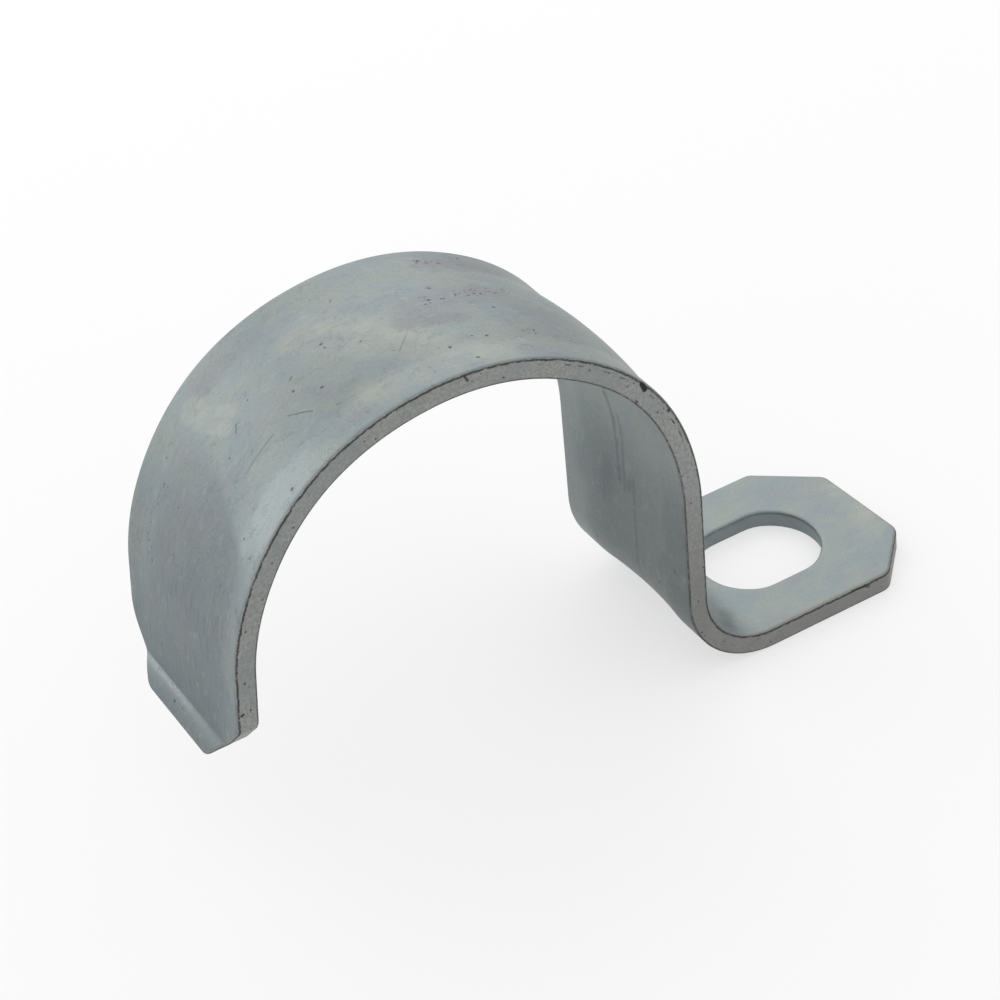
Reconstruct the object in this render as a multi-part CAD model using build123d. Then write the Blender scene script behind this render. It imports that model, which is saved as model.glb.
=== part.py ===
from build123d import *
import os
from math import cos, radians, sin, sqrt, tan

# Conduit strap with one fixing slot, pressed and bent from one strip of steel.
# The finished strap has its origin at the middle of the slot, on the face that meets the
# wall. +X runs from the arch to the foot, +Y along the conduit, +Z away from the wall.
# The strap is worked out around the conduit's axis, then moved to that origin.
# Lengths are millimetres and angles are degrees.

# The strip
sheet = 2.0
strap_width = 20.8

# The arch that grips the conduit
grip_radius = 21.1
axis_height = 20.7

# The straight leg, leaning in under the conduit, and the heel that turns it into the foot
leg_lean = 1.4
heel_radius = 6.9

# The slot for the screw, and the foot around it, whose end and clipped corners are trimmed
# in one stroke, a little askew
slot_reach = 35.2
slot_length = 12.2
slot_width = 10.0
slot_end_radius = 5.3
slot_land = 5.9
foot_clip_length = 5.2
foot_clip_width = 4.95
foot_askew = 3.2

# The free end: it leans out below the axis, then kicks out at a crease into a short lip,
# which is cropped level with the wall
tip_lean = 7.0
crease_drop = 5.2
lip_kick = 22.5
lip_drop = 2.3
crease_radius = 0.8
tip_clip_drop = 5.0
tip_clip_width = 4.8

# The stiffening rib, pressed outward along the middle of the strip
rib_width = 13.4
rib_height = 0.45
rib_exit_lean = 5.7

# Corners of the strip's outline
foot_corner_round = 1.2
tip_corner_round = 1.4

# How far a cutting shape runs past what it cuts, and how deep a joined one is bedded
overrun = 1.0
bedding = 0.3

foot_level = -axis_height
foot_reach = slot_reach + slot_length / 2 + slot_land
outer_radius = grip_radius + sheet
quarter_turn = 90.0
half_turn = 180.0
lip_lean = tip_lean + lip_kick


def direction(angle):
    """Unit vector at an angle from +X towards +Z."""
    return Vector(cos(radians(angle)), 0, sin(radians(angle)))


def radial_plane(angle):
    """Plane square to the strip: local x points out of the strip, local y along the conduit."""
    return Plane(origin=(0, 0, 0), x_dir=direction(angle), z_dir=direction(angle + quarter_turn))


# Where the leg, the heel, the free leg and the lip lie in the side view
leg_out = direction(-leg_lean)
leg_up = direction(quarter_turn - leg_lean)
heel_z = foot_level + sheet + heel_radius
heel_x = (outer_radius + heel_radius + heel_z * sin(radians(leg_lean))) / cos(radians(leg_lean))
heel_centre = Vector(heel_x, 0, heel_z)
leg_length = -heel_centre.dot(leg_up)

tip_out = direction(half_turn - tip_lean)
tip_down = direction(half_turn + quarter_turn - tip_lean)
lip_out = direction(half_turn - lip_lean)
lip_down = direction(half_turn + quarter_turn - lip_lean)
crease_out = direction(half_turn - tip_lean - lip_kick / 2)
crease_share = cos(radians(lip_kick / 2))


def run_to_crease(lean):
    """Straight run from the arch down to the crease, along a line that leans out."""
    return (crease_drop + outer_radius * sin(radians(lean))) / cos(radians(lean))


crease_point = tip_out * outer_radius + tip_down * run_to_crease(tip_lean)
crease_centre = crease_point + crease_out * (crease_radius / crease_share)


def surface_edges(depth):
    """Side view of one face of the strip, from the foot's end to below the cropped lip.

    Depth is measured outward through the sheet from the face that grips the conduit.
    """
    foot_z = foot_level + depth
    heel_r = heel_radius + sheet - depth
    arch_r = grip_radius + depth
    crease_r = crease_radius + sheet - depth
    foot_start = Vector(foot_reach, 0, foot_z)
    heel_start = Vector(heel_x, 0, foot_z)
    leg_start = heel_centre - leg_out * heel_r
    arch_start = leg_out * arch_r
    arch_end = tip_out * arch_r
    crease_start = crease_centre - tip_out * crease_r
    lip_start = crease_centre - lip_out * crease_r
    lip_length = (lip_drop + overrun) / cos(radians(lip_lean)) + sheet * tan(radians(lip_lean))
    tip = crease_point + lip_down * lip_length - lip_out * (sheet - depth)
    heel_turn = quarter_turn + leg_lean
    heel_mid = heel_centre + direction(half_turn + quarter_turn - heel_turn / 2) * heel_r
    crease_mid = crease_centre - crease_out * crease_r
    return [
        Edge.make_line(foot_start, heel_start),
        Edge.make_three_point_arc(heel_start, heel_mid, leg_start),
        Edge.make_line(leg_start, arch_start),
        Edge.make_three_point_arc(arch_start, direction(quarter_turn) * arch_r, arch_end),
        Edge.make_line(arch_end, crease_start),
        Edge.make_three_point_arc(crease_start, crease_mid, lip_start),
        Edge.make_line(lip_start, tip),
    ]


def bent_strip():
    """The flat-sectioned strip, bent to its side view."""
    inner = surface_edges(0)
    outer = surface_edges(sheet)
    foot_end = Edge.make_line(inner[0] @ 0, outer[0] @ 0)
    tip_end = Edge.make_line(inner[-1] @ 1, outer[-1] @ 1)
    side = Face(Wire(inner + outer + [foot_end, tip_end]))
    return extrude(side, amount=strap_width / 2, dir=(0, 1, 0), both=True)


def rib_section(level, lower, plane):
    """Section of the rib above a face at the given distance from the conduit's axis.

    It is a shallow round crown, closed by a band that reaches down to the lower level.
    """
    half = rib_width / 2
    crown = ThreePointArc((level, -half), (level + rib_height, 0), (level, half))
    sides = Polyline((level, half), (lower, half), (lower, -half), (level, -half))
    return plane * make_face([crown, sides])


def rib_solid(level, lower):
    """The rib along the heel, the leg, the arch and the free leg, sinking away at both ends."""
    leg_plane = radial_plane(-leg_lean)
    exit_angle = half_turn - rib_exit_lean
    section = rib_section(level, lower, leg_plane)
    arch = revolve(section, Axis((0, 0, 0), (0, -1, 0)), exit_angle + leg_lean)
    leg = extrude(section, amount=leg_length, dir=-leg_up)
    foot_section = Pos(*(-leg_up * leg_length)) * section
    # The heel's crown turns about an axis moved out by its own height, so that it sinks
    # into the bend and is gone where the foot begins.
    turn_axis = Axis(heel_centre + leg_out * rib_height, (0, -1, 0))
    heel = revolve(foot_section, turn_axis, quarter_turn + leg_lean)
    tip_section = rib_section(level, lower, radial_plane(exit_angle))
    # The rib leans out less than the free leg does, so it fades towards the crease, where
    # the lip kicks out over it.
    run = run_to_crease(rib_exit_lean) + lip_drop / 2
    tip = extrude(tip_section, amount=run, dir=direction(exit_angle + quarter_turn))
    return arch + leg + heel + tip


def foot_waste():
    """What is trimmed from the foot: everything outside its clipped, rounded corners.

    The trim is drawn about the middle of the foot's end, with clips that run on past the
    sides of the strip, and then turned askew.
    """
    end_y = strap_width / 2 - foot_clip_width
    wide_y = end_y + 2 * foot_clip_width
    length = foot_reach - heel_x
    trim = make_face(
        Polyline(
            (-2 * length, -wide_y),
            (-2 * foot_clip_length, -wide_y),
            (0, -end_y),
            (0, end_y),
            (-2 * foot_clip_length, wide_y),
            (-2 * length, wide_y),
            close=True,
        )
    )
    strip = Pos(foot_reach, 0) * Rectangle(2 * length, strap_width)
    blank = strip & (Pos(foot_reach, 0) * Rot(0, 0, foot_askew) * trim)
    corners = blank.vertices().filter_by_position(Axis.X, heel_x + overrun, foot_reach + length)
    blank = fillet(corners, foot_corner_round)
    around = Pos(foot_reach, 0) * Rectangle(2 * length, strap_width + 2 * overrun)
    return extrude(Pos(0, 0, foot_level - overrun) * (around - blank), amount=sheet + 2 * overrun)


def screw_slot():
    """The slot that lets the strap slide to meet its screw.

    Its ends are a little flatter than half circles, so they meet the sides at corners.
    """
    half_length = slot_length / 2
    half_width = slot_width / 2
    corner = half_length - slot_end_radius + sqrt(slot_end_radius**2 - half_width**2)
    upper = Edge.make_line((-corner, half_width, 0), (corner, half_width, 0))
    lower = Edge.make_line((corner, -half_width, 0), (-corner, -half_width, 0))
    right = Edge.make_three_point_arc(
        (corner, half_width, 0), (half_length, 0, 0), (corner, -half_width, 0)
    )
    left = Edge.make_three_point_arc(
        (-corner, -half_width, 0), (-half_length, 0, 0), (-corner, half_width, 0)
    )
    outline = Face(Wire([upper, right, lower, left]))
    slot = Pos(slot_reach, 0, foot_level - overrun) * outline
    return extrude(slot, amount=2 * overrun + sheet + heel_radius / 2, dir=(0, 0, 1))


def tip_waste():
    """What is trimmed from the free end: everything outside its clipped, rounded corners.

    It is drawn looking along the wall at the free end, with y running towards the wall.
    """
    half = strap_width / 2
    end_y = crease_drop + lip_drop
    clip_y = end_y - tip_clip_drop
    end_x = half - tip_clip_width
    blank = make_face(
        Polyline(
            (-half, clip_y - overrun),
            (-half, clip_y),
            (-end_x, end_y),
            (end_x, end_y),
            (half, clip_y),
            (half, clip_y - overrun),
            close=True,
        )
    )
    corners = blank.vertices().filter_by_position(Axis.Y, clip_y - overrun / 2, end_y + overrun)
    blank = fillet(corners, tip_corner_round)
    length = tip_clip_drop + lip_drop + sheet + 3 * overrun
    around = Pos(0, clip_y - overrun + length / 2) * Rectangle(strap_width + 2 * overrun, length)
    view = Plane(origin=(0, 0, 0), x_dir=(0, 1, 0), z_dir=(-1, 0, 0))
    return extrude(view * (around - blank), amount=2 * outer_radius)


def conduit_strap():
    """The whole strap, moved so that its origin is under the middle of the slot."""
    strap = bent_strip()
    strap += rib_solid(outer_radius, outer_radius - bedding)
    strap -= rib_solid(grip_radius, grip_radius - overrun)
    strap -= foot_waste()
    strap -= screw_slot()
    strap -= tip_waste()
    return Pos(-slot_reach, 0, axis_height) * strap


os.makedirs("parts", exist_ok=True)
export_step(conduit_strap(), "parts/conduit_strap.step")
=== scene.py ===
from math import asin, atan2, cos, hypot, pi, radians, sin, tan

import bpy
from mathutils import Matrix, Vector
from mathutils.geometry import delaunay_2d_cdt


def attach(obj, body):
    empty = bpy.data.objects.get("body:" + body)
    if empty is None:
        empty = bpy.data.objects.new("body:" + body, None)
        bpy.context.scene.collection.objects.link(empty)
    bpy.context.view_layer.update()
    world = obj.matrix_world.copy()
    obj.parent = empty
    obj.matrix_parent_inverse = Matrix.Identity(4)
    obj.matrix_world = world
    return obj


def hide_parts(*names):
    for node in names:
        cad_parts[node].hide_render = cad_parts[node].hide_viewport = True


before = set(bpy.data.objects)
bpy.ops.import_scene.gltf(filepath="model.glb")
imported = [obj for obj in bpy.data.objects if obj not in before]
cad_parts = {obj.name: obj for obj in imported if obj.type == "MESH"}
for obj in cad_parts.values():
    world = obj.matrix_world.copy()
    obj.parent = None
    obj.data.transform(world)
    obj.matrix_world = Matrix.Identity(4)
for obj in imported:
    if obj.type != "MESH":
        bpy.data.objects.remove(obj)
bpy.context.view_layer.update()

MM = 0.001

# The strip and its bends, in millimetres and degrees, as the CAD has them
SHEET = 2.0
WIDTH = 20.8
GRIP_R = 21.1
AXIS_Z = 20.7
LEG_LEAN = 1.4
HEEL_R = 6.9
SLOT_REACH = 35.2
SLOT_L = 12.2
SLOT_W = 10.0
SLOT_END_R = 5.3
SLOT_LAND = 5.9
FOOT_CLIP = (5.2, 4.95)
FOOT_ASKEW = 3.2
TIP_LEAN = 7.0
CREASE_DROP = 5.2
LIP_KICK = 22.5
LIP_DROP = 2.3
CREASE_R = 0.8
TIP_CLIP_DROP = 5.0
TIP_CLIP_W = 4.8
RIB_W = 13.4
RIB_H = 0.45
FOOT_ROUND = 1.2
TIP_ROUND = 1.4

# The foot's near corners and the free end's two side corners are rounder than the others
NEAR_FOOT_ROUND = 1.4 * FOOT_ROUND
NEAR_CLIP_ROUND = 1.2 * TIP_ROUND
FAR_CLIP_ROUND = 4.5
# The edge that the punch rolled over on the outer face, how deep it sheared before the metal
# tore, the broken edge on the inner face, and how much wider the slot tears open below
ROLL = 0.32
SLOT_ROLL = 0.3
SHEARED = 0.6
BURR = 0.08
TEAR = 0.28
# How far the lip curls back from its crease, in degrees, and the stretch of the free leg over
# which the cut along the edges turns to follow the level crop
CURL = 24.0
CROP_FADE = 3.0
# How far the arch's two shoulders stand out from a true circle, where they are along the
# blank, and how far each spreads to either side
SHOULDER = 0.22
SHOULDERS = (54.0, 90.0)
SHOULDER_SPREAD = 12.0
# How much wider the rib gets as it fades down the free leg
RIB_SPREAD = 1.25
# Distance between the mesh's points on the outer and the inner face
OUTER_PITCH = 0.32
INNER_PITCH = 0.5

# Runs along the outer face of the flat blank, from the foot's end to the lip's end
OUT_R = GRIP_R + SHEET
FOOT_X = SLOT_L / 2 + SLOT_LAND
heel_z = -AXIS_Z + SHEET + HEEL_R
heel_x = (OUT_R + HEEL_R + heel_z * sin(radians(LEG_LEAN))) / cos(radians(LEG_LEAN))
HEEL_S = SLOT_REACH + FOOT_X - heel_x
HEEL_TURN = radians(90 + LEG_LEAN)
LEG_L = -(heel_x * sin(radians(LEG_LEAN)) + heel_z * cos(radians(LEG_LEAN)))
ARCH_S = HEEL_S + HEEL_R * HEEL_TURN + LEG_L
ARCH_TURN = radians(180 + LEG_LEAN - TIP_LEAN)
TIP_S = ARCH_S + OUT_R * ARCH_TURN
tip_run = (CREASE_DROP + OUT_R * sin(radians(TIP_LEAN))) / cos(radians(TIP_LEAN))
crease_set = CREASE_R * tan(radians(LIP_KICK / 2))
CREASE_S = TIP_S + tip_run - crease_set
LIP_TURN = radians(LIP_KICK)
lip_lean = radians(TIP_LEAN + LIP_KICK)
END_S = CREASE_S + CREASE_R * LIP_TURN + LIP_DROP / cos(lip_lean) - crease_set
CURL_S = CREASE_S + CREASE_R * radians(LIP_KICK + CURL / 2)
CURL_R = (END_S - CURL_S) / radians(CURL)
TIP_CLIP_L = LIP_DROP / cos(lip_lean) + (TIP_CLIP_DROP - LIP_DROP) / cos(radians(TIP_LEAN))


def rounded(corners, radii, step):
    """Closed outline through the corners, each rounded by its radius, with even points."""
    runs = []
    n = len(corners)
    for i in range(n):
        p, q, r = Vector(corners[i - 1]), Vector(corners[i]), Vector(corners[(i + 1) % n])
        a, b = (p - q).normalized(), (r - q).normalized()
        half = a.angle(b) / 2
        back = radii[i] / tan(half)
        centre = q + (a + b).normalized() * (radii[i] / sin(half))
        start = atan2(*(q + a * back - centre).yx)
        sweep = atan2(*(q + b * back - centre).yx) - start
        sweep = (sweep + pi) % (2 * pi) - pi
        count = max(3, round(abs(sweep) * radii[i] / step))
        angles = [start + sweep * k / count for k in range(count + 1)]
        runs.append([centre + radii[i] * Vector((cos(angle), sin(angle))) for angle in angles])
    points = []
    for i in range(n):
        points += runs[i]
        a, b = runs[i][-1], runs[(i + 1) % n][0]
        count = max(1, round((b - a).length / step))
        points += [a.lerp(b, k / count) for k in range(1, count)]
    return points


def outward(points):
    """Unit normals in the plane, to the right of the way round, at each point of a loop."""
    result = []
    for i in range(len(points)):
        t = (points[(i + 1) % len(points)] - points[i - 1]).normalized()
        result.append(Vector((t.y, -t.x)))
    return result


def foot_corners():
    """The foot's four corners: its end and clips are trimmed askew about the end's middle."""
    half = WIDTH / 2
    turn = radians(FOOT_ASKEW)
    corners = []
    for side in (-1, 1):
        y = side * (half - FOOT_CLIP[1])
        end = Vector((y * sin(turn), y * cos(turn)))
        along = Vector((FOOT_CLIP[0], side * FOOT_CLIP[1]))
        along = Vector((along.x * cos(turn) + along.y * sin(turn),
                        along.y * cos(turn) - along.x * sin(turn)))
        corners.append((end, end + along * ((side * half - end.y) / along.y)))
    return corners[0][1], corners[0][0], corners[1][0], corners[1][1]


def slot_outline(step):
    """Closed outline of the slot, whose ends are a little flatter than half circles."""
    reach = asin(SLOT_W / 2 / SLOT_END_R)
    centre = SLOT_L / 2 - SLOT_END_R
    count = round(2 * reach * SLOT_END_R / step)
    points = []
    for side in (1, -1):
        angles = [reach - 2 * reach * k / count for k in range(count + 1)]
        arc = [Vector((side * (centre + SLOT_END_R * cos(a)), side * SLOT_END_R * sin(a)))
               for a in angles]
        gap = 2 * abs(arc[-1].x)
        pieces = round(gap / step)
        points += arc + [arc[-1] + Vector((-side * gap * k / pieces, 0)) for k in range(1, pieces)]
    points = [Vector((FOOT_X, 0)) + p for p in points]
    # The corners where the ends meet the sides are softened by averaging neighbours.
    softenings = 7
    for _ in range(softenings):
        points = [(points[i - 1] + 2 * p + points[(i + 1) % len(points)]) / 4
                  for i, p in enumerate(points)]
    return points


def fallen(s, d):
    """How far below the crease a point of the free leg or of the curled lip ends up."""
    kick = radians(LIP_KICK + CURL / 2)
    past = s - CREASE_S
    along, out = past, d
    if past > 0:
        turn = min(past / CREASE_R, kick)
        along = (CREASE_R - d) * sin(turn)
        out = CREASE_R - (CREASE_R - d) * cos(turn)
    if s > CURL_S:
        back = (s - CURL_S) / CURL_R
        ahead, up = (CURL_R + d) * sin(back), (CURL_R + d) * (cos(back) - 1)
        along += ahead * cos(kick) - up * sin(kick)
        out += ahead * sin(kick) + up * cos(kick)
    return along * cos(radians(TIP_LEAN)) - out * sin(radians(TIP_LEAN))


def cropped(s, d):
    """Where along the strip a point below the outer face goes, for an end cropped level."""
    share = min(max((s - END_S + TIP_CLIP_L + CROP_FADE) / CROP_FADE, 0), 1)
    if share == 0 or d == 0:
        return s
    level = fallen(s, 0)
    low, high = s - 2 * SHEET, s
    halvings = 24
    for _ in range(halvings):
        middle = (low + high) / 2
        if fallen(middle, d) < level:
            low = middle
        else:
            high = middle
    return s + share * (low - s)


def within(point, loops):
    """Whether a point is on the metal: inside an odd number of the loops."""
    odd = False
    for loop in loops:
        for p, q in zip(loop, loop[1:] + loop[:1]):
            if (p.y > point.y) != (q.y > point.y):
                if point.x < p.x + (q.x - p.x) * (point.y - p.y) / (q.y - p.y):
                    odd = not odd
    return odd


def edge_section(roll, tear):
    """Section of a punched edge, as (inset, depth) from the outer face to the inner one."""
    roll_steps, wall_steps = 5, 8
    section = []
    for k in range(roll_steps + 1):
        angle = pi / 2 * k / roll_steps
        section.append((roll * (1 - sin(angle)), -roll * (1 - cos(angle))))
    for k in range(1, wall_steps + 1):
        depth = roll + (SHEET - roll - BURR) * k / wall_steps
        section.append((tear * max(depth - SHEARED, 0) / (SHEET - SHEARED), -depth))
    return section + [(tear + BURR, -SHEET)]


def blank_mesh():
    """The punched blank, lying flat: x = how far along the strip, y = across, z = depth.

    Returns a mesh whose point attribute flat keeps those three in millimetres, and whose
    attribute cut is 1 on the punched edge and 0 on the two faces, and bore 1 in the slot.
    """
    half = WIDTH / 2
    tip_y = half - TIP_CLIP_W
    near_side, near_end, far_end, far_side = foot_corners()
    corners = [near_end, near_side, (END_S - TIP_CLIP_L, -half), (END_S, -tip_y),
               (END_S, tip_y), (END_S - TIP_CLIP_L, half), far_side, far_end]
    corners = [Vector(c) for c in corners]
    radii = [NEAR_FOOT_ROUND, NEAR_FOOT_ROUND, NEAR_CLIP_ROUND, TIP_ROUND,
             TIP_ROUND, FAR_CLIP_ROUND, FOOT_ROUND, FOOT_ROUND]
    outline = rounded(corners, radii, OUTER_PITCH)
    slot = slot_outline(OUTER_PITCH)

    # The punched edges, ring by ring from the outer face to the inner one
    verts, faces, cut, bore = [], [], [], []
    top_loops, bottom_loops = [], []
    # The first part of the roll still counts as the face
    face_share = 0.4
    for loop, roll, tear in ((outline, ROLL, 0.0), (slot, SLOT_ROLL, TEAR)):
        normals = outward(loop)
        rings = []
        for inset, depth in edge_section(roll, tear):
            ring = []
            for p, n in zip(loop, normals):
                q = p - n * inset
                ring.append(len(verts))
                verts.append((q.x, q.y, depth))
                cut.append(0.0 if depth > -roll * face_share or depth <= -SHEET else 1.0)
                bore.append(1.0 if loop is slot else 0.0)
            rings.append(ring)
        for upper, lower in zip(rings, rings[1:]):
            for i in range(len(loop)):
                faces.append((upper[i - 1], lower[i - 1], lower[i], upper[i]))
        top_loops.append(rings[0])
        bottom_loops.append(rings[-1])

    sides = [(p, (q - p).normalized()) for p, q in zip(corners, corners[1:] + corners[:1])]

    def inside(s, y, margin, hole_margin):
        """Whether a point is on the metal, at least the margins away from its edges."""
        edge = min(t.x * (y - p.y) - t.y * (s - p.x) for p, t in sides)
        away = abs(s - FOOT_X)
        end = hypot(max(away - SLOT_L / 2 + SLOT_END_R, 0), y) - SLOT_END_R
        hole = max(abs(y) - SLOT_W / 2, end)
        return edge > margin and hole > hole_margin

    # The two faces: an even grid of points, kept about half a pitch clear of the edges and
    # joined to them. A place this many millimetres inside the edges is surely on the metal.
    clearance = 0.55
    sure = 0.4
    smallest = 1e-6
    layers = ((top_loops, 0.0, OUTER_PITCH, ROLL, SLOT_ROLL),
              (bottom_loops, -SHEET, INNER_PITCH, BURR, BURR + TEAR))
    for loops, depth, pitch, inset, wider in layers:
        used = [v for loop in loops for v in loop]
        points = [Vector(verts[v][:2]) for v in used]
        rims = []
        rim_lines = [[Vector(verts[v][:2]) for v in loop] for loop in loops]
        at = 0
        for loop in loops:
            rims.append(list(range(at, at + len(loop))))
            at += len(loop)
        edges = [(rim[i - 1], rim[i]) for rim in rims for i in range(len(rim))]
        rows = round(END_S / pitch)
        lanes = round(WIDTH / pitch)
        for i in range(1, rows):
            for j in range(1, lanes):
                s = END_S * i / rows
                y = -half + WIDTH * j / lanes
                if inside(s, y, inset + pitch * clearance, wider + pitch * clearance):
                    points.append(Vector((s, y)))
                    used.append(None)
        found, _, tris, origin, _, _ = delaunay_2d_cdt(points, edges, [], 0, smallest)
        index = []
        for p, source in zip(found, origin):
            old = next((used[k] for k in source if used[k] is not None), None)
            if old is None:
                old = len(verts)
                verts.append((p.x, p.y, depth))
                cut.append(0.0)
                bore.append(0.0)
            index.append(old)
        for tri in tris:
            a, b, c = (found[k] for k in tri)
            middle = (a + b + c) / 3
            if abs((b - a).cross(c - a)) < smallest:
                continue
            # Only a triangle close to an edge needs the slower test.
            if not inside(middle.x, middle.y, inset + sure, wider + sure):
                if not within(middle, rim_lines):
                    continue
            face = [index[k] for k in tri]
            faces.append(face if depth == 0 else face[::-1])

    verts = [(cropped(s, d), y, d) for s, y, d in verts]
    mesh = bpy.data.meshes.new("blank")
    place = [((FOOT_X - s) * MM, y * MM, (SHEET + d) * MM) for s, y, d in verts]
    # The strip runs towards -x from the foot's end, so the faces turn over once.
    mesh.from_pydata(place, [], [list(f)[::-1] for f in faces])
    flat = mesh.attributes.new("flat", "FLOAT_VECTOR", "POINT")
    flat.data.foreach_set("vector", [c for v in verts for c in v])
    for name, values in (("cut", cut), ("bore", bore)):
        mesh.attributes.new(name, "FLOAT", "POINT").data.foreach_set("value", values)
    mesh.shade_smooth()
    return mesh


def add(tree, kind, inputs=(), out=0, **settings):
    """Adds a node, sets it up, and links or sets its inputs, given in order or by name.

    Returns its output of that number or name, or all of its outputs where out is None.
    """
    made = tree.nodes.new(kind)
    for name, value in settings.items():
        setattr(made, name, value)
    for key, value in inputs.items() if isinstance(inputs, dict) else enumerate(inputs):
        if isinstance(value, bpy.types.NodeSocket):
            tree.links.new(value, made.inputs[key])
        else:
            made.inputs[key].default_value = value
    return made.outputs if out is None else made.outputs[out]


def product(tree, *parts):
    """Several parts multiplied in turn: shares, or other values.

    A part that is (value, low, high) rises softly from 0 at low to 1 at high. With two more
    numbers it goes from the first to the second.
    """
    total = None
    for part in parts:
        if isinstance(part, tuple):
            part = add(tree, "ShaderNodeMapRange", part, clamp=False, interpolation_type="SMOOTHSTEP")
        if total is not None:
            part = add(tree, "ShaderNodeMath", [total, part], operation="MULTIPLY")
        total = part
    return total


def coated(tree, colour, *coats):
    """A colour under coats of others, each an sRGB code and the parts of where it lies."""
    for code, *parts in coats:
        colour = add(tree, "ShaderNodeMix", {0: product(tree, *parts), 6: colour, 7: linear(code)},
                     out=2, data_type="RGBA")
    return colour


def bend_group():
    """Node group that folds the strip about one bend, as a press does.

    Start is where the bend begins along the strip, radius that of the outer face, and turn
    the angle, positive where the outer face ends up inside the bend.
    """
    tree = bpy.data.node_groups.new("fold one bend", "GeometryNodeTree")
    face = tree.interface
    face.new_socket("Place", in_out="INPUT", socket_type="NodeSocketVector")
    for name in ("Along", "Start", "Radius", "Turn"):
        face.new_socket(name, in_out="INPUT", socket_type="NodeSocketFloat")
    face.new_socket("Place", in_out="OUTPUT", socket_type="NodeSocketVector")
    given = add(tree, "NodeGroupInput", out=None)
    sweep = add(tree, "ShaderNodeMath", [given["Turn"]], operation="ABSOLUTE")
    side = add(tree, "ShaderNodeMath", [given["Turn"]], operation="SIGN")
    length = product(tree, sweep, given["Radius"])
    past = add(tree, "ShaderNodeMath", [given["Along"], given["Start"]], operation="SUBTRACT")
    share = add(tree, "ShaderNodeMath", [past, length], operation="DIVIDE", use_clamp=True)
    angle = product(tree, share, sweep)
    gone = product(tree, share, length)
    # The point as seen from where the bend has got to, still lying flat
    start_x = add(tree, "ShaderNodeMath", [FOOT_X * MM, given["Start"]], operation="SUBTRACT")
    here = add(tree, "ShaderNodeMath", [start_x, gone], operation="SUBTRACT")
    base = add(tree, "ShaderNodeCombineXYZ", {"X": here, "Z": SHEET * MM})
    offset = add(tree, "ShaderNodeVectorMath", [given["Place"], base], operation="SUBTRACT")
    turned = add(tree, "ShaderNodeVectorRotate",
                 {"Vector": offset, "Angle": product(tree, angle, side)}, rotation_type="Y_AXIS")
    # Where the bend has got to, once folded
    sine = add(tree, "ShaderNodeMath", [angle], operation="SINE")
    cosine = add(tree, "ShaderNodeMath", [angle], operation="COSINE")
    fall = add(tree, "ShaderNodeMath", [1.0, cosine], operation="SUBTRACT")
    across = product(tree, given["Radius"], sine)
    rise = product(tree, given["Radius"], fall, side)
    arc_x = add(tree, "ShaderNodeMath", [start_x, across], operation="SUBTRACT")
    arc_z = add(tree, "ShaderNodeMath", [rise, SHEET * MM], operation="ADD")
    arc = add(tree, "ShaderNodeCombineXYZ", {"X": arc_x, "Z": arc_z})
    moved = add(tree, "ShaderNodeVectorMath", [arc, turned], operation="ADD")
    add(tree, "NodeGroupOutput", {"Place": moved}, out=None)
    return tree


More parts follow.
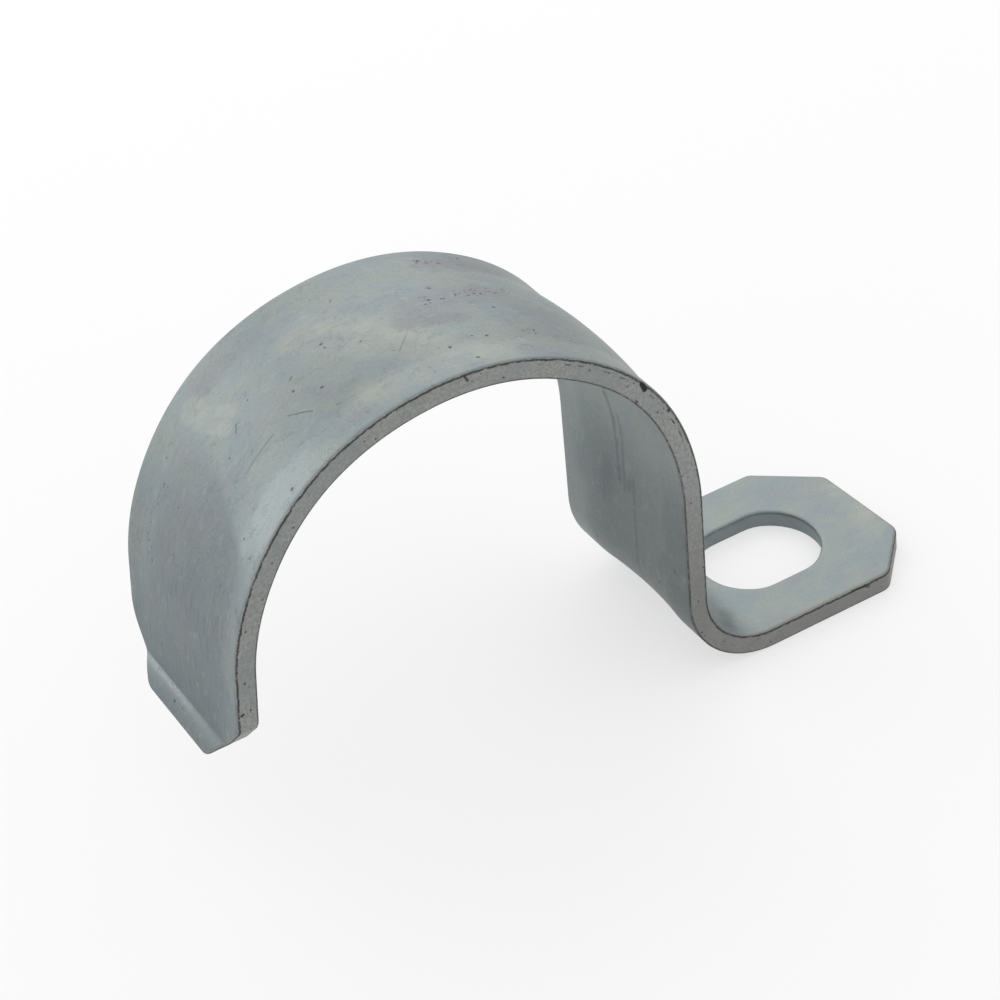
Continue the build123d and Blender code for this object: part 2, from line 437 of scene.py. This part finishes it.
def press_tree(material):
    """Node tree that presses the rib into the blank and folds its bends."""
    tree = bpy.data.node_groups.new("press the strap", "GeometryNodeTree")
    face = tree.interface
    face.new_socket("Geometry", in_out="INPUT", socket_type="NodeSocketGeometry")
    for name in ("Rib width", "Rib height", "Heel turn", "Arch turn", "Lip turn", "Lip curl",
                 "Shoulder height"):
        face.new_socket(name, in_out="INPUT", socket_type="NodeSocketFloat")
    face.new_socket("Geometry", in_out="OUTPUT", socket_type="NodeSocketGeometry")
    given = add(tree, "NodeGroupInput", out=None)
    flat = add(tree, "GeometryNodeInputNamedAttribute", {"Name": "flat"}, data_type="FLOAT_VECTOR")
    along, across, _ = add(tree, "ShaderNodeSeparateXYZ", [flat], out=None)
    along_m = product(tree, along, MM)
    # The rib rises through the heel, runs level, and spreads and fades down the free leg.
    rising = (along, HEEL_S + 1.0, HEEL_S + HEEL_R * HEEL_TURN * 0.8)
    fading = (along, TIP_S - 8.0, END_S + 0.5, 1.0, 0.0)
    spreading = (along, TIP_S - 14.0, CREASE_S, 1.0, RIB_SPREAD)
    half = product(tree, given["Rib width"], 0.5, spreading)
    share = add(tree, "ShaderNodeMath", [across, half], operation="DIVIDE")
    square = product(tree, share, share)
    crown = add(tree, "ShaderNodeMath", [1.0, square], operation="SUBTRACT", use_clamp=True)
    height = product(tree, given["Rib height"], crown, rising, fading)
    # The arch is a little squarer than a circle: it stands out at its two shoulders.
    for shoulder in SHOULDERS:
        off = add(tree, "ShaderNodeMath", [along, shoulder], operation="SUBTRACT")
        away = add(tree, "ShaderNodeMath", [off], operation="ABSOLUTE")
        bulge = product(tree, (away, 0.0, SHOULDER_SPREAD, given["Shoulder height"], 0.0))
        height = add(tree, "ShaderNodeMath", [height, bulge], operation="ADD")
    lift = add(tree, "ShaderNodeCombineXYZ", {"Z": product(tree, height, MM)})
    flat_place = add(tree, "GeometryNodeInputPosition")
    place = add(tree, "ShaderNodeVectorMath", [flat_place, lift], operation="ADD")
    # The bends are folded from the free end back, so that each is still flat where it starts.
    fold = bend_group()
    for start, radius, turn in ((CURL_S, CURL_R, "Lip curl"), (CREASE_S, CREASE_R, "Lip turn"),
                                (ARCH_S, OUT_R, "Arch turn"), (HEEL_S, HEEL_R, "Heel turn")):
        place = add(tree, "GeometryNodeGroup", {
            "Place": place, "Along": along_m, "Start": start * MM, "Radius": radius * MM,
            "Turn": given[turn]}, node_tree=fold)
    pressed = add(tree, "GeometryNodeSetPosition", {"Geometry": given["Geometry"], "Position": place})
    real = add(tree, "GeometryNodeRealizeInstances", {"Geometry": pressed})
    done = add(tree, "GeometryNodeSetMaterial", {"Geometry": real, "Material": material})
    add(tree, "NodeGroupOutput", {"Geometry": done}, out=None)
    return tree


def pressed_strap(material):
    """The strap: the flat blank, with its rib pressed and its bends folded, as a plain mesh."""
    blank = bpy.data.objects.new("blank", blank_mesh())
    bpy.context.scene.collection.objects.link(blank)
    tree = press_tree(material)
    modifier = blank.modifiers.new("press", "NODES")
    modifier.node_group = tree
    sizes = {
        "Rib width": RIB_W,
        "Rib height": RIB_H,
        "Heel turn": HEEL_TURN,
        "Arch turn": -ARCH_TURN,
        "Lip turn": radians(LIP_KICK + CURL / 2),
        "Lip curl": -radians(CURL),
        "Shoulder height": SHOULDER,
    }
    for item in tree.interface.items_tree:
        if item.in_out == "INPUT" and item.name in sizes:
            modifier[item.identifier] = sizes[item.name]
    graph = bpy.context.evaluated_depsgraph_get()
    mesh = bpy.data.meshes.new_from_object(blank.evaluated_get(graph))
    bpy.data.objects.remove(blank)
    strap = bpy.data.objects.new("pressed_strap", mesh)
    bpy.context.scene.collection.objects.link(strap)
    return strap


def linear(code):
    """Linear colour of an sRGB hex code."""
    values = [int(code[i:i + 2], 16) / 255 for i in (1, 3, 5)]
    return [v / 12.92 if v <= 0.04045 else ((v + 0.055) / 1.055) ** 2.4 for v in values] + [1.0]


def grain(tree, where, size, detail=2.0, roughness=0.5, shift=0.0):
    """Noise from 0 to 1 whose features are about size millimetres, along, across and deep."""
    scaled = add(tree, "ShaderNodeVectorMath", [where, size], operation="DIVIDE")
    moved = add(tree, "ShaderNodeVectorMath", [scaled, (shift, shift, shift)], operation="ADD")
    return add(tree, "ShaderNodeTexNoise",
               {"Vector": moved, "Scale": 1.0, "Detail": detail, "Roughness": roughness}, out="Fac")


def mark_group():
    """Node group for a mark along a straight line: 1 within the radius, soft at its edge."""
    tree = bpy.data.node_groups.new("mark along a line", "ShaderNodeTree")
    face = tree.interface
    for name in ("Where", "From", "To"):
        face.new_socket(name, in_out="INPUT", socket_type="NodeSocketVector")
    for name in ("Radius", "Edge"):
        face.new_socket(name, in_out="INPUT", socket_type="NodeSocketFloat")
    face.new_socket("Mark", in_out="OUTPUT", socket_type="NodeSocketFloat")
    given = add(tree, "NodeGroupInput", out=None)
    off = add(tree, "ShaderNodeVectorMath", [given["Where"], given["From"]], operation="SUBTRACT")
    line = add(tree, "ShaderNodeVectorMath", [given["To"], given["From"]], operation="SUBTRACT")
    along = add(tree, "ShaderNodeVectorMath", [off, line], out="Value", operation="DOT_PRODUCT")
    whole = add(tree, "ShaderNodeVectorMath", [line, line], out="Value", operation="DOT_PRODUCT")
    # Held between the line's two ends by maximum and minimum, because a clamp setting makes
    # the renderer keep more values at once than it can in a material with this many marks
    share = add(tree, "ShaderNodeMath", [along, whole], operation="DIVIDE")
    share = add(tree, "ShaderNodeMath", [share, 0.0], operation="MAXIMUM")
    share = add(tree, "ShaderNodeMath", [share, 1.0], operation="MINIMUM")
    foot = add(tree, "ShaderNodeVectorMath", {0: line, "Scale": share}, operation="SCALE")
    away = add(tree, "ShaderNodeVectorMath", [off, foot], out="Value", operation="DISTANCE")
    outer = add(tree, "ShaderNodeMath", [given["Radius"], given["Edge"]], operation="ADD")
    mark = product(tree, (away, given["Radius"], outer, 1.0, 0.0))
    add(tree, "NodeGroupOutput", {"Mark": mark}, out=None)
    return tree


def marks(tree, group, where, lines):
    """The strongest of several marks, each (from, to, radius, edge, strength)."""
    total = 0.0
    for start, end, radius, edge, strength in lines:
        mark = add(tree, "ShaderNodeGroup",
                   {"Where": where, "From": start, "To": end, "Radius": radius, "Edge": edge},
                   node_tree=group)
        total = add(tree, "ShaderNodeMath", [total, product(tree, mark, strength)],
                    operation="MAXIMUM")
    return total


def pits(tree, where, cell, radius, threshold, shift):
    """Small round pits: 1 in a pit. Cells whose random value is over the threshold have one."""
    offset = (shift, shift * 0.7, 0)
    size = (cell, cell * 0.8, cell)
    moved = add(tree, "ShaderNodeVectorMath", [where, offset], operation="ADD")
    scaled = add(tree, "ShaderNodeVectorMath", [moved, size], operation="DIVIDE")
    cells = add(tree, "ShaderNodeTexVoronoi", {"Vector": scaled, "Scale": 1.0}, out=None)
    chance = add(tree, "ShaderNodeSeparateColor", [cells["Color"]])
    has = add(tree, "ShaderNodeMath", [chance, threshold], operation="GREATER_THAN")
    return product(tree, (cells["Distance"], radius * 0.45, radius, 1.0, 0.0), has)


def zinc_plate():
    """Clear-passivated zinc plating on rolled and punched steel.

    The plating gives a soft grey sheen with bluish and straw-coloured clouds, with painted shade
    and painted highlights on the free leg, painted shade inside the arch and a painted dark
    reflection in the heel's bend. The punched edge is rougher and warmer, with painted shade in
    the crevices along its rims. All of it works in the flat blank's millimetres: x along the
    strip from the foot's end, y across it, z the depth below the outer face.
    """
    material = bpy.data.materials.new("zinc_plated_steel")
    material.use_nodes = True
    tree = material.node_tree
    shader = tree.nodes["Principled BSDF"]
    where = add(tree, "ShaderNodeAttribute", out="Vector", attribute_name="flat")
    cut = add(tree, "ShaderNodeAttribute", out="Fac", attribute_name="cut")
    bore = add(tree, "ShaderNodeAttribute", out="Fac", attribute_name="bore")
    along, across, depth = add(tree, "ShaderNodeSeparateXYZ", [where], out=None)
    group = mark_group()

    # Cloudy passivation: straw, blue and faintly purple clouds, each mottled. The plating's
    # own grain is too fine to show, so the speck is drawn at a quarter of a millimetre.
    cloud = grain(tree, where, (5.5, 4.2, 4.0), 4.0, 0.62)
    cloud_b = grain(tree, where, (4.4, 3.6, 4.0), 4.0, 0.62, 17.0)
    smudge = grain(tree, where, (2.0, 1.3, 1.6), 4.0, 0.7, 31.0)
    speck = grain(tree, where, (0.26, 0.22, 0.24), 2.0, 0.75, 9.0)

    def shaken(amount):
        """Where a point is, shaken by the smudges, so that a mark there has a ragged edge."""
        swing = add(tree, "ShaderNodeMath", [smudge, 0.5], operation="SUBTRACT")
        off = product(tree, swing, amount)
        shake = add(tree, "ShaderNodeCombineXYZ", {"X": off, "Y": product(tree, off, -0.8)})
        return add(tree, "ShaderNodeVectorMath", [where, shake], operation="ADD")

    uneven, rough = shaken(3.5), shaken(0.5)
    colour = coated(
        tree, linear("#869093"),
        ("#8e9591", (cloud, 0.36, 0.64)),
        ("#8b8b90", (cloud_b, 0.52, 0.7, 0.0, 0.45)),
    )
    straw = marks(tree, group, uneven, [
        ((75.5, -4.5, 0), (82.5, 3.0, 0), 0.6, 3.4, 0.75),
        ((70.0, -8.0, 0), (82.0, -7.2, 0), 0.4, 2.2, 0.55),
        ((55.0, -7.5, 0), (60.5, -6.0, 0), 0.4, 2.2, 0.4),
        ((0.6, 3.5, 0), (1.4, -4.0, 0), 0.3, 1.6, 0.8),
        ((16.5, 7.6, 0), (21.0, 6.6, 0), 0.3, 1.8, 0.5),
    ])
    colour = coated(tree, colour, ("#9fa29a", straw, (cloud_b, 0.35, 0.6, 1.0, 0.35)))
    purple = marks(tree, group, uneven, [
        ((61.0, 7.4, 0), (67.5, 7.8, 0), 0.4, 2.2, 0.6),
        ((66.0, 1.0, 0), (73.5, 0.0, 0), 0.5, 2.4, 0.5),
        ((71.0, -2.6, 0), (75.5, -1.6, 0), 0.3, 1.4, 0.7),
        ((86.5, 7.2, 0), (91.5, 8.0, 0), 0.3, 2.2, 0.45),
        ((60.0, -2.6, 0), (64.0, -2.2, 0), 0.3, 1.8, 0.4),
    ])
    colour = coated(tree, colour, ("#7f7f85", purple, (cloud, 0.3, 0.65, 0.35, 1.0)))

    # Where the bent arch meets the flat free leg a tongue of painted shade, whose near side slants
    # across the strip, lies beside a painted highlight along the near margin. Lower down, painted
    # shade darkens the leg above the crease, a painted highlight runs along the crease, and painted
    # shade darkens the lip towards its end.
    run = add(tree, "ShaderNodeMath", [along, 94.3], operation="SUBTRACT")
    slant = add(tree, "ShaderNodeMath", [0.3, product(tree, run, 1.79)], operation="SUBTRACT")
    near_side = add(tree, "ShaderNodeMath", [slant, -9.3], operation="MAXIMUM")
    inward = add(tree, "ShaderNodeMath", [across, near_side], operation="SUBTRACT")
    tongue = product(tree, (inward, -0.7, 1.8), (across, 8.0, 2.5), (along, 93.4, 96.5),
                     (smudge, 0.35, 0.65, 0.28, 0.48))
    # Painted shade in the tongue
    colour = coated(tree, colour, ("#6f757e", tongue))
    beside = add(tree, "ShaderNodeMath", [1.0, product(tree, tongue, 2.0)], operation="SUBTRACT")
    colour = coated(
        tree, colour,
        # Painted highlight along the near margin, beside the tongue
        ("#a3acad", (across, -2.5, -8.0), (along, 84.0, 95.0), beside,
         (along, 98.0, 108.0, 1.0, 0.35), (cloud, 0.35, 0.6, 0.4, 0.7)),
        # Painted shade on the leg above the crease
        ("#6a7579", (along, 103.0, 116.0), (along, 118.1, 117.7), (across, -9.0, -5.0, 0.3, 0.75)),
        # Painted highlight along the crease, speckled
        ("#b0b7b8", (along, 117.8, 118.1), (along, 118.9, 118.2),
         (speck, 0.4, 0.6, 0.25, 0.8), (across, -7.0, 2.0)),
        # Painted shade towards the lip's end
        ("#6f797c", (along, 118.6, 120.0, 0.0, 0.4)),
    )

    # Painted shade on the inner face, deepest low on the leg and weakest towards the far edge,
    # with dark streaks and stains along the leg, and a painted dark reflection in the heel's bend
    uncut = add(tree, "ShaderNodeMath", [1.0, cut], operation="SUBTRACT")
    inner = product(tree, (depth, -1.9, -1.97), uncut)
    # Painted shade on the inner face
    colour = coated(
        tree, colour,
        ("#6b7272", inner, (along, 46.0, 35.0, 0.3, 0.95), (across, 9.5, 3.0, 0.35, 1.0)),
    )
    dark_streaks_and_reflection = marks(tree, group, shaken(1.2), [
        ((35.7, 1.2, -2), (46.9, 1.4, -2), 0.05, 0.35, 0.6),
        ((35.0, 0.4, -2), (44.0, 0.3, -2), 0.03, 0.3, 0.5),
        ((25.0, -0.9, -2), (37.0, -1.2, -2), 0.04, 0.35, 0.45),
        ((35.6, -0.2, -2), (36.6, -0.8, -2), 0.1, 0.6, 0.45),
        ((30.0, -5.5, -2), (31.5, -6.4, -2), 0.1, 1.1, 0.25),
        ((33.0, 3.9, -2), (36.5, 2.9, -2), 0.1, 1.8, 0.25),
        ((33.5, 7.6, -2), (36.5, 7.4, -2), 0.1, 1.6, 0.2),
        ((30.9, -8.1, -2), (31.2, -8.1, -2), 0.1, 0.15, 0.8),
        # A painted dark reflection in the heel's concave bend, on its near side
        ((20.4, -6.5, 0), (21.6, -8.6, 0), 0.1, 1.3, 0.4),
    ])
    colour = coated(tree, colour, ("#4f5a62", dark_streaks_and_reflection))

    # Mottling that is calmer on the foot, fine drawn streaks low on the free leg, a small
    # grain, and a warmer near rim along the foot
    calm = product(tree, (along, 17.0, 24.0, 0.45, 1.0))
    streak = grain(tree, where, (3.0, 0.16, 1.0), 2.0, 0.6, 5.0)
    worn = product(tree, (along, 96.0, 108.0, 0.06, 0.45), (along, 118.2, 117.2, 0.3, 1.0))
    colour = coated(
        tree, colour,
        ("#9fa6a5", (smudge, 0.52, 0.7, 0.0, 0.42), calm, (inner, 0.0, 1.0, 1.0, 0.55)),
        ("#6d7577", (smudge, 0.48, 0.3, 0.0, 0.42), calm),
        ("#5a6467", worn, (streak, 0.52, 0.7)),
        ("#909a9a", worn, (streak, 0.46, 0.26)),
        ("#697071", (speck, 0.53, 0.8, 0.0, 0.4)),
        ("#acb2b1", (speck, 0.47, 0.2, 0.0, 0.22)),
        ("#938d86", (across, -9.6, -10.2), (along, 22.0, 16.0, 0.0, 0.4)),
    )

    # A pale, lobed stain on the free side of the arch
    lobed = marks(tree, group, rough, [
        ((93.5, 7.2, 0), (93.2, 6.8, 0), 1.1, 0.35, 0.8),
        ((93.0, 5.8, 0), (90.8, 2.2, 0), 0.4, 0.4, 0.75),
        ((93.9, 5.4, 0), (92.2, 1.2, 0), 0.4, 0.4, 0.7),
        ((93.2, 5.4, 0), (91.9, 2.4, 0), 0.6, 0.5, 0.5),
    ])
    colour = coated(tree, colour, ("#a6a9a1", lobed, (smudge, 0.62, 0.42, 0.15, 0.42)))

    # Thin scratches, and hairlines that follow the contours of a cloud
    scratched = marks(tree, group, rough, [
        ((89.8, -3.6, 0), (93.6, -3.8, 0), 0.01, 0.09, 0.4),
        ((86.4, -4.9, 0), (87.9, -3.4, 0), 0.03, 0.1, 0.5),
        ((91.4, 0.7, 0), (91.9, 0.0, 0), 0.03, 0.1, 0.5),
        ((85.6, -0.2, 0), (85.9, -0.4, 0), 0.04, 0.1, 0.5),
        ((78.3, 6.0, 0), (78.6, 5.7, 0), 0.04, 0.1, 0.45),
        ((76.0, -3.0, 0), (77.6, -4.6, 0), 0.01, 0.1, 0.3),
        ((59.2, -8.6, 0), (61.8, -6.4, 0), 0.01, 0.12, 0.35),
    ])
    hair = 0.0
    for field, level, other in ((cloud_b, 0.5, cloud), (cloud, 0.44, cloud_b), (smudge, 0.57, cloud)):
        off = add(tree, "ShaderNodeMath", [field, level], operation="SUBTRACT")
        contour = add(tree, "ShaderNodeMath", [off], operation="ABSOLUTE")
        near = product(tree, (contour, 0.006, 0.0015), (other, 0.48, 0.58))
        hair = add(tree, "ShaderNodeMath", [hair, near], operation="MAXIMUM")
    hair = product(tree, hair, (along, 50.0, 58.0, 0.0, 0.3))
    thin = add(tree, "ShaderNodeMath", [scratched, hair], operation="MAXIMUM")
    colour = coated(tree, colour, ("#454b4d", thin))

    # Pits in the plating: a few anywhere, many in some patches
    crowd = marks(tree, group, where, [
        ((63.9, 1.7, 0), (68.9, 0.8, 0), 0.35, 0.5, 1.0),
        ((70.3, 0.6, 0), (72.4, 0.2, 0), 0.25, 0.4, 1.0),
        ((64.4, -5.5, 0), (66.3, -5.8, 0), 0.15, 0.4, 1.0),
        ((67.0, 7.9, 0), (68.9, 8.1, 0), 0.25, 0.4, 1.0),
        ((102.0, 5.5, 0), (106.5, 5.7, 0), 0.3, 0.8, 0.35),
    ])
    rare = add(tree, "ShaderNodeMath", [0.995, product(tree, (along, 20.0, 14.0, 0.0, 0.1))],
               operation="ADD")
    rare = add(tree, "ShaderNodeMath", [rare, product(tree, crowd, 0.75)], operation="SUBTRACT")
    large, small = pits(tree, where, 0.62, 0.36, rare, 3.0), pits(tree, where, 0.4, 0.36, rare, 41.0)
    pitted = add(tree, "ShaderNodeMath", [large, small], operation="MAXIMUM")
    colour = coated(tree, colour, ("#3f3e3c", pitted, 0.65))

    # The punched edge: warmer, granular and torn; smooth and bluish inside the slot
    tear = grain(tree, where, (0.3, 0.3, 0.22), 4.0, 0.75, 13.0)
    torn = coated(
        tree, linear("#8e908e"),
        ("#a5a7a5", (tear, 0.34, 0.66)),
        ("#8e9594", (cloud, 0.42, 0.62, 0.0, 0.5)),
        ("#7c7a76", (along, 44.0, 30.0, 0.0, 0.5)),
    )
    torn = coated(tree, torn, ("#62615c", pits(tree, where, 0.45, 0.32, 0.9, 23.0)))
    chips = marks(tree, group, rough, [
        ((55.9, -10.4, -0.25), (55.2, -10.4, -0.5), 0.16, 0.14, 1.0),
        ((51.2, -10.4, -0.35), (51.4, -10.4, -0.4), 0.08, 0.1, 0.8),
        ((54.9, -10.4, -1.75), (55.1, -10.4, -1.75), 0.08, 0.1, 0.7),
        ((113.3, -10.4, -0.45), (113.2, -10.4, -0.6), 0.08, 0.1, 0.9),
        ((113.1, -10.4, -1.3), (113.0, -10.4, -1.3), 0.05, 0.08, 0.8),
        ((8.6, -10.4, -0.1), (7.2, -10.4, -0.22), 0.06, 0.12, 0.8),
        ((7.2, -10.4, -0.2), (6.7, -10.4, -0.5), 0.08, 0.12, 0.7),
        ((110.0, -10.4, -0.9), (110.1, -10.4, -0.9), 0.07, 0.1, 0.6),
        ((74.9, -10.4, -0.3), (74.6, -10.4, -0.8), 0.05, 0.12, 0.8),
    ])
    torn = coated(tree, torn, ("#3c3a37", chips), ("#868f91", bore))
    colour = add(tree, "ShaderNodeMix", {0: cut, 6: colour, 7: torn}, out=2, data_type="RGBA")

    # Painted shade in crevices: below the rolled rim, broken again lower down, and along the inner
    # rim
    broken = grain(tree, where, (0.8, 0.8, 0.8), 3.0, 0.75, 51.0)
    swing = add(tree, "ShaderNodeMath", [broken, 0.5], operation="SUBTRACT")
    wobble = add(tree, "ShaderNodeMath", [depth, product(tree, swing, 0.32)], operation="ADD")
    open_edge = add(tree, "ShaderNodeMath", [1.0, product(tree, bore, 0.7)], operation="SUBTRACT")
    rim = product(tree, (wobble, -0.33, -0.24), (wobble, -0.08, -0.16), (broken, 0.3, 0.52, 0.4, 0.9))
    second = product(tree, (wobble, -0.66, -0.6), (wobble, -0.48, -0.54), (broken, 0.5, 0.6),
                     (along, 42.0, 50.0), (along, 70.0, 62.0))
    on_edge = add(tree, "ShaderNodeMath", [cut, 0.02], operation="GREATER_THAN")
    inner_line = product(tree, (wobble, -1.8, -1.88), on_edge, (broken, 0.35, 0.6, 0.35, 0.8))
    lines = add(tree, "ShaderNodeMath", [rim, second], operation="MAXIMUM")
    lines = add(tree, "ShaderNodeMath", [lines, inner_line], operation="MAXIMUM")
    lines = product(tree, lines, open_edge, (cut, 0.02, 0.2))
    # The crevices' painted shade
    colour = coated(tree, colour, ("#44423e", lines, 0.85))
    tree.links.new(colour, shader.inputs["Base Color"])

    # Bare metal, a little rougher where it is smudged, cut or creviced
    shader.inputs["Metallic"].default_value = 1.0
    matt = add(tree, "ShaderNodeMath", [0.38, product(tree, smudge, 0.2)], operation="ADD")
    matt = add(tree, "ShaderNodeMath", [matt, product(tree, cut, 0.1)], operation="ADD")
    matt = add(tree, "ShaderNodeMath", [matt, product(tree, lines, 0.25)], operation="ADD",
               use_clamp=True)
    tree.links.new(matt, shader.inputs["Roughness"])

    # Height in millimetres: fine grain, with pits, scratches and crevices below the face
    height = product(tree, grain(tree, where, (3.0, 2.0, 2.0), 2.0, 0.6, 61.0), 0.05)
    sunk = add(tree, "ShaderNodeMath", [lines, chips], operation="MAXIMUM")
    for operation, parts in (("ADD", (speck, 0.012)), ("SUBTRACT", (pitted, 0.05)),
                             ("ADD", (tear, cut, open_edge, 0.03)), ("SUBTRACT", (sunk, 0.05))):
        height = add(tree, "ShaderNodeMath", [height, product(tree, *parts)], operation=operation)
    bump = add(tree, "ShaderNodeBump", {"Height": height, "Distance": MM, "Strength": 1.0})
    tree.links.new(bump, shader.inputs["Normal"])
    return material


def pale_floor():
    """Plain matt floor, close to white, that the camera and the metal see a little paler."""
    material = bpy.data.materials.new("pale_floor")
    material.use_nodes = True
    tree = material.node_tree
    shader = tree.nodes["Principled BSDF"]
    shader.inputs["Base Color"].default_value = linear("#f2f2f2")
    shader.inputs["Roughness"].default_value = 1.0
    shader.inputs["Specular IOR Level"].default_value = 0.0
    path = add(tree, "ShaderNodeLightPath", out=None)
    bounced = add(tree, "ShaderNodeMath", [path["Is Glossy Ray"], path["Is Transmission Ray"]],
                  operation="MAXIMUM")
    seen = add(tree, "ShaderNodeMath", [path["Is Camera Ray"], bounced], operation="MAXIMUM")
    white = add(tree, "ShaderNodeEmission", {"Color": linear("#ffffff"), "Strength": 1.0})
    paler = product(tree, seen, 0.6)
    mixed = add(tree, "ShaderNodeMixShader", [paler, shader.outputs[0], white])
    tree.links.new(mixed, tree.nodes["Material Output"].inputs["Surface"])
    mesh = bpy.data.meshes.new("floor")
    side = 4.0
    corners = [(-side, -side, 0), (side, -side, 0), (side, side, 0), (-side, side, 0)]
    mesh.from_pydata(corners, [], [(0, 1, 2, 3)])
    mesh.materials.append(material)
    floor = bpy.data.objects.new("floor", mesh)
    # A hair below the wall's face, so that the foot's underside doesn't lie in the same plane
    floor.location.z = -0.05 * MM
    bpy.context.scene.collection.objects.link(floor)


def studio_world():
    """Even, soft room light."""
    world = bpy.data.worlds.new("studio")
    world.use_nodes = True
    bpy.context.scene.world = world
    back = world.node_tree.nodes["Background"]
    back.inputs["Color"].default_value = linear("#ffffff")
    back.inputs["Strength"].default_value = 0.87


def towards(turn, rise):
    """Unit vector turn degrees round the strap from the near side, and rise degrees up."""
    turn, rise = radians(turn), radians(rise)
    return Vector((sin(turn) * cos(rise), -cos(turn) * cos(rise), sin(rise)))


def softbox(name, turn, rise, power):
    """Round softbox aimed at the strap from a direction, with its power in watts."""
    target = Vector((-27, 0, 20)) * MM
    distance = 0.6
    lamp = bpy.data.lights.new(name, "AREA")
    lamp.shape = "DISK"
    lamp.size = 0.6
    lamp.energy = power
    holder = bpy.data.objects.new(name, lamp)
    aim = towards(turn, rise)
    holder.location = target + aim * distance
    holder.rotation_euler = aim.to_track_quat("Z", "Y").to_euler()
    holder.visible_camera = False
    bpy.context.scene.collection.objects.link(holder)


def studio_camera():
    """Camera at the photograph's viewing angle, with its slight tilt to one side."""
    turn, rise, roll = -26.49, 37.49, radians(-7.36)
    target = Vector((-26.76, 0, 21.05)) * MM
    distance = 262.0
    focal_widths = 2.959
    back = towards(turn, rise)
    right = (-back).cross(Vector((0, 0, 1))).normalized()
    up = right.cross(-back)
    across = right * cos(roll) + up * sin(roll)
    upright = up * cos(roll) - right * sin(roll)
    camera = bpy.data.cameras.new("camera")
    camera.sensor_width = 36.0
    camera.lens = camera.sensor_width * focal_widths
    camera.clip_start = 0.01
    holder = bpy.data.objects.new("camera", camera)
    turned = Matrix((across, upright, back)).transposed().to_4x4()
    holder.matrix_world = Matrix.Translation(target + back * distance * MM) @ turned
    bpy.context.scene.collection.objects.link(holder)
    bpy.context.scene.camera = holder


strap = pressed_strap(zinc_plate())
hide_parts("conduit_strap")
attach(strap, "root")
pale_floor()
studio_world()
for name, turn, rise, power in (("key", 20, 60, 0.17), ("left", -150, 12, 0.48),
                                ("behind", -150, 35, 0.37), ("right", 150, 35, 0.68)):
    softbox(name, turn, rise, power)
studio_camera()
bpy.context.scene.view_settings.view_transform = "Standard"
